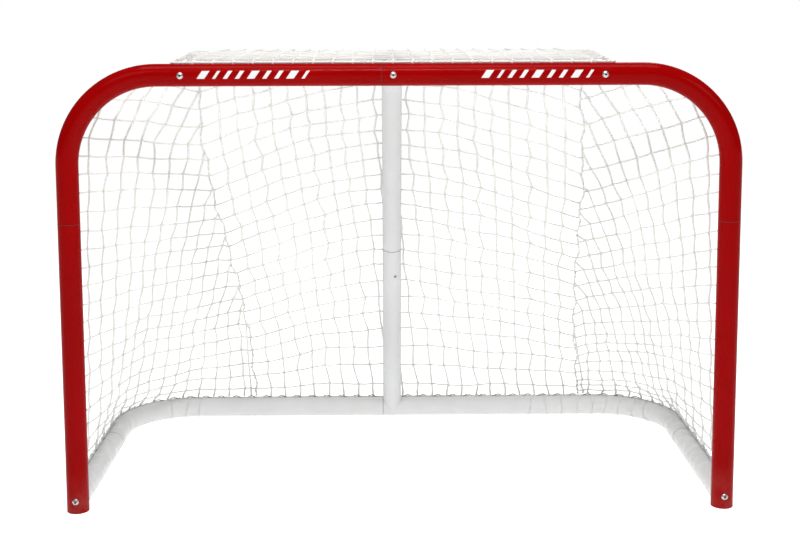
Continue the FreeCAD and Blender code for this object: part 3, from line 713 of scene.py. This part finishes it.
def hitch(net, centre, axis):
    """One turn of twine round a border cord."""
    radius = CORD_R + ROW_R * 0.8
    axis = axis.normalized()
    a = axis.orthogonal().normalized()
    b = axis.cross(a)
    ring = []
    steps = 12
    for k in range(steps):
        t = 2 * math.pi * k / steps
        p = centre + a * (math.cos(t) * radius) + b * (math.sin(t) * radius)
        ring.append(p + axis * (0.0012 * math.cos(t)))
    net.strand(ring, ROW_R, 5, closed=True)


BACK_COLUMNS = 22
BAR_FLAT = 0.025
BACK_RISE = 0.114
TOP_ROWS = 8
TOP_DIP = 0.0030
TOP_EDGE_Z = SEAM_TOP_Z - 0.003


def back_point(z, u):
    """A point of the back panel, at a height and a share of the way from the left seam to the right."""
    left, right = seam_zigzag(-1, z), seam_zigzag(1, z)
    x = left.x + (right.x - left.x) * u
    y_bar = back_y(z)
    if x < CENTRE_X - BAR_FLAT:
        t = (x - left.x) / (CENTRE_X - BAR_FLAT - left.x)
        y = left.y + (y_bar - left.y) * t
    elif x > CENTRE_X + BAR_FLAT:
        t = (right.x - x) / (right.x - CENTRE_X - BAR_FLAT)
        y = right.y + (y_bar - right.y) * t
    else:
        t, y = 1.0, y_bar
    slack = 4 * t * (1 - t)
    return Vector((x, y, z)) + wrinkle(Vector((u * 5.0, z * 5.0, 7.0)), WRINKLE * slack)


def back_row_height(i, u):
    """Rows leave each seam where the side rows end, and ride up towards the centre bar."""
    z0 = row_height(-1, ROW_BASE + ROW_STEP * i, 1.0)
    left, right = seam(-1, z0).x, seam(1, z0).x
    middle = (CENTRE_X - left) / (right - left)
    t = u / middle if u < middle else (1 - u) / (1 - middle)
    rise = BACK_RISE * (1 - (1 - t) ** 1.7) * (1 - math.exp(-(z0 - HEM_Z) / 0.16))
    ripple = 0.003 * math.sin(u * 19 + i * 1.7)
    return z0 + rise + ripple * min(1.0, (z0 - HEM_Z) / 0.1)


def rear_hem(x):
    """Where the back panel is tied: on the hem cord outside the rear tube."""
    return Vector((x, REAR_Y + HEM_OUT + 0.001, RAIL_Z + HEM_UP + 0.0025))


def top_sheet_point(u, v):
    """A point of the top panel: u from left to right, v from the crossbar to the shelf's rear bar."""
    y = FRONT_Y + 0.003 + (SHELF_REAR - 0.004 - FRONT_Y - 0.003) * v
    past = max(0.0, y - (SHELF_REAR - SHELF_CORNER))
    inset = SHELF_CORNER - math.sqrt(SHELF_CORNER**2 - past**2)
    left, right = LEG[-1] - 0.001 + inset, LEG[1] + 0.001 - inset
    x = left + (right - left) * u
    held = min(abs(x - left), abs(x - right), abs(x - CENTRE_X))
    free = min(1.0, held / 0.12)
    dip = TOP_DIP * math.sin(math.pi * v) * free
    return Vector((x, y, TOP_FRONT_Z + (TOP_Z - TOP_FRONT_Z) * v - dip))


def back_and_top():
    """The back panel, and the top panel whose strands go on from the back panel's columns."""
    back, top = Tubes(), Tubes()
    knots = {}
    highest = SEAM_TOP_Z - 0.012
    rows = [i for i in range(ROWS) if row_height(-1, ROW_BASE + ROW_STEP * i, 1.0) < highest]
    for i in rows:
        for j in range(1, BACK_COLUMNS):
            u = j / BACK_COLUMNS
            if back_row_height(i, u) < highest:
                p = back_point(back_row_height(i, u), u)
                p.x += BACK_STAGGER * (1 if (i + j) % 2 else -1)
                knots[i, j] = jitter(p, KNOT_JITTER)
    for i in rows:
        start = row_height(-1, ROW_BASE + ROW_STEP * i, 1.0)
        runs = [[seam_zigzag(-1, start)]]
        for j in range(1, BACK_COLUMNS):
            if (i, j) in knots:
                runs[-1].append(knots[i, j])
            elif len(runs) == 1:
                runs[0].append(back_point(TOP_EDGE_Z, (j - 0.4) / BACK_COLUMNS))
                runs.append([])
            else:
                runs[1] = [back_point(TOP_EDGE_Z, (j + 0.4) / BACK_COLUMNS)]
        runs[-1].append(seam_zigzag(1, start))
        for run in runs:
            back.strand(thread(run, 0.0014), ROW_R)
    top_knots = {}
    for k in range(1, TOP_ROWS):
        for j in range(1, BACK_COLUMNS):
            top_knots[k, j] = jitter(top_sheet_point(j / BACK_COLUMNS, k / TOP_ROWS), TOP_JITTER)
    for k in range(1, TOP_ROWS):
        v = k / TOP_ROWS
        line = [top_sheet_point(0, v)]
        line += [top_knots[k, j] for j in range(1, BACK_COLUMNS)]
        line.append(top_sheet_point(1, v))
        top.strand(thread(line, 0.0004, 0.0012), TOP_TWINE_R)
    for j in range(1, BACK_COLUMNS):
        u = j / BACK_COLUMNS
        low = rear_hem(seam(-1, HEM_Z).x * (1 - u) + seam(1, HEM_Z).x * u)
        edge = top_sheet_point(u, 1.0)
        over = back_point(TOP_EDGE_Z, u)
        over.y = max(over.y, SHELF_NET_Y - 0.005)
        edge_in = edge.lerp(over, 0.5) + Vector((0, 0.002, 0.0012))
        line = [low] + [knots[i, j] for i in rows if (i, j) in knots] + [over]
        back.strand(thread(line, 0.0, 0.0020), TWINE_R)
        start = top_sheet_point(u, 0.0)
        line = [over, edge_in, edge] + [top_knots[k, j] for k in range(TOP_ROWS - 1, 0, -1)] + [start]
        top.strand(thread(line, 0.0004, 0.0012), TOP_TWINE_R)
        hitch(top, Vector((start.x, FRONT_Y - 0.0005, cord_lo.z + CORD_R)), Vector((1, 0, 0)))
    for p in knots.values():
        back.blob(p, KNOT, Vector((1, 0, 0)), Vector((0, -0.3, 1)))
    for p in top_knots.values():
        top.blob(p, TOP_TWINE_R * 1.35, Vector((1, 0, 0)), Vector((0, 1, 0)))
    return back, top


SEAM_TWIST = 0.035
SEAM_SPREAD = 0.0017
SEAM_STRAND_R = 0.0018
WRAP_OUT = 0.0040
WRAP_R = 0.0009
WRAP_STEPS = 8


def whipped_seam(side):
    """Two gathered strands and the lacing that whips them together, from the hem to the crossbar."""
    net = Tubes()
    route = []
    steps = 150
    for i in range(steps + 1):
        z = HEM_Z - 0.002 + (SEAM_TOP_Z - HEM_Z) * i / steps
        route.append(seam_zigzag(side, max(z, HEM_Z)))
    route[0].z = HEM_Z - 0.003
    front = post_edge(side, SEAM_TOP_Z) + Vector((0, -0.01, 0.001))
    last = route[-1].copy()
    route += [last.lerp(front, i / 40) for i in range(1, 41)]
    for phase in (0.0, math.pi):
        line = []
        travelled = 0.0
        for i, p in enumerate(route):
            if i:
                travelled += (p - route[i - 1]).length
            a = travelled / SEAM_TWIST * 2 * math.pi + phase
            line.append(p + Vector((math.cos(a), math.sin(a), 0.3 * math.sin(a))) * SEAM_SPREAD)
        net.strand(line, SEAM_STRAND_R)
    total = sum((b - a).length for a, b in zip(route, route[1:]))
    count = int(total / MESH) * WRAP_STEPS
    line = []
    for i in range(count + 1):
        t = i / count
        p = polyline_point(route, t)
        ahead = polyline_point(route, min(t + 0.004, 1.0)) - polyline_point(route, max(t - 0.004, 0.0))
        ahead.normalize()
        across = ahead.orthogonal().normalized()
        out = ahead.cross(across)
        a = 2 * math.pi * i / WRAP_STEPS
        line.append(p + (across * math.cos(a) + out * math.sin(a)) * WRAP_OUT)
    net.strand(line, WRAP_R, 5)
    return net


def border_cord(side):
    """The border cord behind a post: up from the base, round the bend and over to the shelf's leg."""
    net = Tubes()
    y = FRONT_Y + R + CORD_R + 0.0002
    foot, climb = RAIL_Z + R + 0.012, ARC_Z - RAIL_Z - R - 0.012
    points = [Vector((side * POST_X, y, foot + climb * i / 40)) for i in range(41)]
    for i in range(1, 25):
        a = math.pi / 2 * i / 24
        x = side * (POST_X - CORNER_BEND + CORNER_BEND * math.cos(a))
        points.append(Vector((x, y, ARC_Z + CORNER_BEND * math.sin(a))))
    points.append(Vector((LEG[side] + side * 0.012, y, CROSS_Z)))
    net.strand(points, CORD_R, 10)
    return net


def crossbar_border():
    """The border cord along the top of the crossbar."""
    net = Tubes()
    z, y = (cord_lo.z + cord_hi.z) / 2, (cord_lo.y + cord_hi.y) / 2
    count = 60
    points = [Vector((cord_lo.x + (cord_hi.x - cord_lo.x) * i / count, y, z)) for i in range(count + 1)]
    net.strand(points, CORD_R, 10)
    return net


def base_point(side, s):
    """Centre line of the base tube from one post: position, outward direction and travel direction."""
    if s < BASE_STRAIGHT:
        return Vector((side * POST_X, FRONT_Y + s, RAIL_Z)), Vector((side, 0, 0)), Vector((0, 1, 0))
    if s < BASE_STRAIGHT + BASE_ARC:
        a = (s - BASE_STRAIGHT) / BASE_BEND
        out = Vector((side * math.cos(a), math.sin(a), 0))
        centre = Vector((side * (POST_X - BASE_BEND), REAR_Y - BASE_BEND, RAIL_Z))
        return centre + out * BASE_BEND, out, Vector((-side * math.sin(a), math.cos(a), 0))
    x = side * (POST_X - BASE_BEND - (s - BASE_STRAIGHT - BASE_ARC))
    return Vector((x, REAR_Y, RAIL_Z)), Vector((0, 1, 0)), Vector((-side, 0, 0))


LACE_R = 0.0016
SIDE_LACE_R = 0.0010
LACE_TURN_R = CORD_R + LACE_R + 0.0002
HEM_START = 0.047
HEM_STEP = 0.012
LACE_INSET = 0.01
LACE_POINTS = 14
LACE_LOOP = 0.0030
REAR_LACE_START = BASE_STRAIGHT + BASE_ARC * 0.55


def hem_point(side, s):
    """A point of the hem's border cord, up and out from the base tube."""
    centre, out, _ = base_point(side, s)
    return centre + out * HEM_OUT + Vector((0, 0, HEM_UP))


def hem_and_lacing():
    """The hem's border cord outside the base tubes, and the thin cord wound round it and the net."""
    cord, lacing, side_lacing = Tubes(), Tubes(), Tubes()
    lift = Vector((0, 0, 1))
    for side in (-1, 1):
        end = BASE_STRAIGHT + BASE_ARC + (POST_X - BASE_BEND) - side * CENTRE_X - R + 0.006
        span = end - HEM_START
        count = int(span / HEM_STEP)
        line = [hem_point(side, HEM_START + span * i / count) for i in range(count + 1)]
        cord.strand(line, CORD_R, 10)
        line = []
        laced = span - 2 * LACE_INSET
        count = int(laced / MESH * LACE_POINTS)
        for i in range(count + 1):
            s = HEM_START + LACE_INSET + laced * i / count
            _, out, _ = base_point(side, s)
            turn = 2 * math.pi * (s - HEM_START) / MESH
            middle = hem_point(side, s) + lift * 0.0008
            outward = out * math.cos(HEM_TILT) + lift * math.sin(HEM_TILT)
            across = lift * math.cos(HEM_TILT) - out * math.sin(HEM_TILT)
            outside = max(LACE_TURN_R * math.cos(turn), -CORD_R * 0.9)
            above = LACE_TURN_R * math.sin(turn) + max(0.0, math.sin(turn)) * LACE_LOOP
            line.append(middle + outward * outside + across * above)
            if s < REAR_LACE_START:
                split = len(line)
        side_lacing.strand(line[:split + 1], SIDE_LACE_R, 6)
        lacing.strand(line[split:], LACE_R, 6)
    return cord, lacing, side_lacing


TURN_SHIFT = 0.004
TURN_LEAN = 0.006
TURN_GAP = 0.0010
CORD_TURN_R = CORD_R + 0.0012


def tube_turns():
    """Thin turns round the base tube and the hem's border cord, one to a mesh, near the rear bends."""
    made = Tubes()
    spans = ((-1, BASE_ARC * 0.72, BASE_ARC * 0.72 + 0.11), (1, BASE_ARC * 0.45, BASE_ARC + 0.26))
    for side, first, last in spans:
        for i in range(int((last - first) / MESH) + 1):
            s = BASE_STRAIGHT + first + i * MESH + chance.uniform(-TURN_SHIFT, TURN_SHIFT)
            centre, out, travel = base_point(side, s)
            lean = chance.uniform(-TURN_LEAN, TURN_LEAN)
            ring = []
            for k in range(49):
                a = 2 * math.pi * k / 48
                reach = HEM_R * math.cos(a - HEM_TILT) + CORD_R
                if reach > R:
                    y = HEM_OUT + CORD_TURN_R * math.cos(a)
                    z = HEM_UP + CORD_TURN_R * math.sin(a)
                else:
                    y, z = (R + TURN_GAP) * math.cos(a), (R + TURN_GAP) * math.sin(a)
                ring.append(centre + out * y + Vector((0, 0, z)) + travel * (lean * math.sin(a)))
            made.strand(ring, WRAP_R, 5)
    return made


for side, name in ((-1, "left"), (1, "right")):
    made = side_panel(side).build(f"twine_{name}", TWINE, "net_twine")
    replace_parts(made, f"net_{name}_panel")
    made = whipped_seam(side).build(f"seam_lacing_{name}", TWINE, "net_twine")
    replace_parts(made, f"{name}_net_seam")
    made = border_cord(side).build(f"border_rope_{name}", BORDER, "cord")
    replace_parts(made, f"{name}_post_cord")
back_net, top_net = back_and_top()
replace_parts(back_net.build("twine_back", TWINE, "net_twine"), "net_back_panel")
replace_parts(top_net.build("twine_top", TWINE, "net_twine"), "net_top_panel")
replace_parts(crossbar_border().build("border_rope_top", BORDER, "cord"), "crossbar_cord")
hem_cord, hem_lacing, side_lacing = hem_and_lacing()
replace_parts(hem_cord.build("hem_rope", BORDER, "cord"), "base_hem_cords")
hem_lacing.build("hem_lacing", CORD, "cord")
side_lacing.build("hem_lacing_sides", TWINE, "cord")
tube_turns().build("hem_turns", TWINE, "cord")


def bending_spring():
    """The V spring inside the bar, whose front leg goes in with the button while its rear leg stays; here
    a rigid copy of the CAD spring.
    """
    cad_node = frame["nodes"]["snap_spring"]
    mesh = cad_node.data.copy()
    mesh.transform(cad_node.matrix_world)
    mesh.materials.clear()
    mesh.materials.append(BUTTON)
    made = bpy.data.objects.new("spring_leaf", mesh)
    bpy.context.scene.collection.objects.link(made)
    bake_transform(made)
    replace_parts(made, "snap_spring")


bending_spring()


# ---- plain decoration on the crossbar ------------------------------------------------------------
def slanted_bars(name, x0, x1):
    """A row of leaning white bars printed on the front of the crossbar."""
    verts, faces = [], []
    lift = R + 0.00015
    z_mid, tall, lean = CROSS_Z + 0.002, 0.0205, 0.014
    widths = [0.020, 0.008, 0.011, 0.011, 0.020, 0.011, 0.011, 0.020, 0.008]
    gap = (x1 - x0 - lean - sum(widths)) / (len(widths) - 1)
    x = x0
    for width in widths:
        base = len(verts)
        steps = 8
        for i in range(steps + 1):
            t = i / steps
            up = (t - 0.5) * tall + z_mid - CROSS_Z
            y = FRONT_Y - math.sqrt(lift**2 - up**2)
            shift = lean * t
            verts.append((x + shift, y, CROSS_Z + up))
            verts.append((x + shift + width, y, CROSS_Z + up))
        for i in range(steps):
            a = base + 2 * i
            faces.append((a, a + 1, a + 3, a + 2))
        x += width + gap
    mesh = bpy.data.meshes.new(name)
    mesh.from_pydata(verts, [], faces)
    mesh.materials.append(DECAL)
    made = bpy.data.objects.new(name, mesh)
    bpy.context.scene.collection.objects.link(made)
    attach(made, "frame")
    return made


slanted_bars("decal_left", -0.532, -0.236)
slanted_bars("decal_right", 0.213, 0.510)


# ---- painted shade in the joints and sockets -----------------------------------------------------
def joint_line(grime_and_painted_shade, centre, axis, radius):
    """A ring of painted shade in the groove where two tubes meet."""
    axis = axis.normalized()
    a = axis.orthogonal().normalized()
    b = axis.cross(a)
    ring = []
    for k in range(48):
        t = 2 * math.pi * k / 48
        ring.append(centre + (a * math.cos(t) + b * math.sin(t)) * radius)
    grime_and_painted_shade.strand(ring, 0.0006, 5, closed=True)


BAR_JOINT = 0.605


def joint_lines():
    """Painted shade lines at the post, crossbar, side rail, rear rail and centre bar joints."""
    grime_and_painted_shade = Tubes()
    groove = R - 0.0002
    post_seam = post_hi.z
    for side, rail in ((-1, "left_side_rail"), (1, "right_side_rail")):
        joint_line(grime_and_painted_shade, Vector((side * POST_X, FRONT_Y, post_seam)), Vector((0, 0, 1)), groove)
        rail_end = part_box(rail)[1].y
        joint_line(grime_and_painted_shade, Vector((side * POST_X, rail_end, RAIL_Z)), Vector((0, 1, 0)), groove)
    right_lo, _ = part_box("right_corner_tube")
    joint_line(grime_and_painted_shade, Vector((right_lo.x, FRONT_Y, CROSS_Z)), Vector((1, 0, 0)), groove)
    rear_lo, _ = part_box("right_rear_rail")
    joint_line(grime_and_painted_shade, Vector((rear_lo.x, REAR_Y, RAIL_Z)), Vector((1, 0, 0)), groove)
    up = Vector((0, -math.sin(SLANT), math.cos(SLANT)))
    foot = Vector((CENTRE_X, REAR_Y, RAIL_Z))
    joint_line(grime_and_painted_shade, foot + up * BAR_JOINT, up, groove)
    return grime_and_painted_shade


BOLT_HEAD_R = 0.00875
SOCKET_DEPTH = 0.0016
SOCKET_R = 0.00345


def socket_shades():
    """Painted shade: a dark hexagon on the floor of each bolt's socket."""
    verts, faces = [], []
    places = []
    for name in ("crossbar_centre_bolt", "shelf_bolts", "foot_bolts"):
        lo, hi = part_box(name)
        middle = (lo.z + hi.z) / 2
        xs = (lo.x + BOLT_HEAD_R, hi.x - BOLT_HEAD_R)
        if name == "crossbar_centre_bolt":
            xs = (CENTRE_X,)
        places += [Vector((x, lo.y + SOCKET_DEPTH, middle)) for x in xs]
    corners = [Vector((math.cos(math.pi * k / 3), 0, math.sin(math.pi * k / 3))) for k in range(6)]
    for p in places:
        base = len(verts)
        verts.append(tuple(p + Vector((0, 0.0004, 0))))
        verts += [tuple(p + corner * SOCKET_R) for corner in corners]
        faces += [(base, base + 1 + k, base + 1 + (k + 1) % 6) for k in range(6)]
    mesh = bpy.data.meshes.new("socket_shades")
    mesh.from_pydata(verts, [], faces)
    mesh.materials.append(PAINTED_SHADE)
    made = bpy.data.objects.new("socket_shades", mesh)
    bpy.context.scene.collection.objects.link(made)
    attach(made, "frame")


# Painted shade in the joint grooves and on the socket floors.
joint_lines().build("joint_painted_shade_lines", PAINTED_SHADE, "frame_white")
socket_shades()


# ---- floor, light and camera ---------------------------------------------------------------------
def floor():
    """A wide pale floor that glows a little, so that it reads as a studio sweep."""
    mat, tree, shader = new_material("floor_pale", (0.97, 0.97, 0.97), 0.8)
    place, _ = position(tree)
    tone = noise_of(tree, place, 0.6, 2.0)
    tree.links.new(ramp(tree, tone, [(0.2, grey(0.955)), (0.8, grey(0.975))]), shader.inputs["Base Color"])
    shader.inputs["Emission Color"].default_value = (1, 1, 1, 1)
    shader.inputs["Emission Strength"].default_value = 0.56
    shader.inputs["Specular IOR Level"].default_value = 0.0
    half, down = 40.0, -0.0004
    corners = [(-half, -half, down), (half, -half, down), (half, half, down), (-half, half, down)]
    mesh = bpy.data.meshes.new("floor")
    mesh.from_pydata(corners, [], [(0, 1, 2, 3)])
    mesh.materials.append(mat)
    made = bpy.data.objects.new("floor", mesh)
    bpy.context.scene.collection.objects.link(made)


def area_light(name, at, aim, size, size_y, power):
    """A rectangular lamp at one point, aimed at another."""
    data = bpy.data.lights.new(name, "AREA")
    data.shape = "RECTANGLE"
    data.size, data.size_y, data.energy = size, size_y, power
    lamp = bpy.data.objects.new(name, data)
    bpy.context.scene.collection.objects.link(lamp)
    lamp.location = at
    lamp.rotation_euler = (Vector(aim) - Vector(at)).to_track_quat("-Z", "Y").to_euler()


floor()
area_light("key", (-2.6, -3.6, 4.4), (0, 0, 0.6), 2.6, 1.6, 32)
area_light("fill", (3.6, -2.8, 3.2), (0, 0, 0.6), 2.0, 1.4, 22)
area_light("rear", (0.8, 4.6, 4.2), (0, 0, 0.5), 3.0, 1.5, 40)
area_light("strip", (0.0, -2.2, 3.4), (0, FRONT_Y, CROSS_Z), 1.5, 0.12, 46)
area_light("overhead", (0.0, -0.5, 3.8), (0, -0.1, 0), 3.2, 1.2, 54)

# The world looks white to the camera, and is dimmer as light on the object and in its reflections.
SOFT_LIGHT = 0.48
GLOSS_LIGHT = 0.10
world = bpy.data.worlds.new("studio")
bpy.context.scene.world = world
world.use_nodes = True
sky = world.node_tree
background = sky.nodes["Background"]
background.inputs["Color"].default_value = (1.0, 1.0, 1.0, 1)
rays = sky.nodes.new("ShaderNodeLightPath")
lift = node(sky, "ShaderNodeMath", operation="MULTIPLY_ADD")
sky.links.new(rays.outputs["Is Camera Ray"], lift.inputs[0])
lift.inputs[1].default_value = 1.0 - SOFT_LIGHT
lift.inputs[2].default_value = SOFT_LIGHT
drop = node(sky, "ShaderNodeMath", operation="MULTIPLY_ADD")
sky.links.new(rays.outputs["Is Glossy Ray"], drop.inputs[0])
drop.inputs[1].default_value = GLOSS_LIGHT - SOFT_LIGHT
sky.links.new(lift.outputs[0], drop.inputs[2])
sky.links.new(drop.outputs[0], background.inputs["Strength"])

LENS_MM = 58.4
CAMERA_LEFT, CAMERA_BACK, CAMERA_HEIGHT = 0.049, 3.432, 1.354
CAMERA_DOWN, CAMERA_ROLL, CAMERA_TURN = 6.83, 0.16, -0.83
camera_data = bpy.data.cameras.new("camera")
camera_data.sensor_width = 36.0
camera_data.lens = LENS_MM
camera_data.shift_y = -0.140
camera_data.clip_end = 200.0
bpy.context.scene.view_settings.view_transform = "Standard"
camera = bpy.data.objects.new("camera", camera_data)
bpy.context.scene.collection.objects.link(camera)
camera.location = (-CAMERA_LEFT, FRONT_Y - CAMERA_BACK, CAMERA_HEIGHT)
camera.rotation_euler = [math.radians(a) for a in (90 - CAMERA_DOWN, CAMERA_ROLL, CAMERA_TURN)]
bpy.context.scene.camera = camera
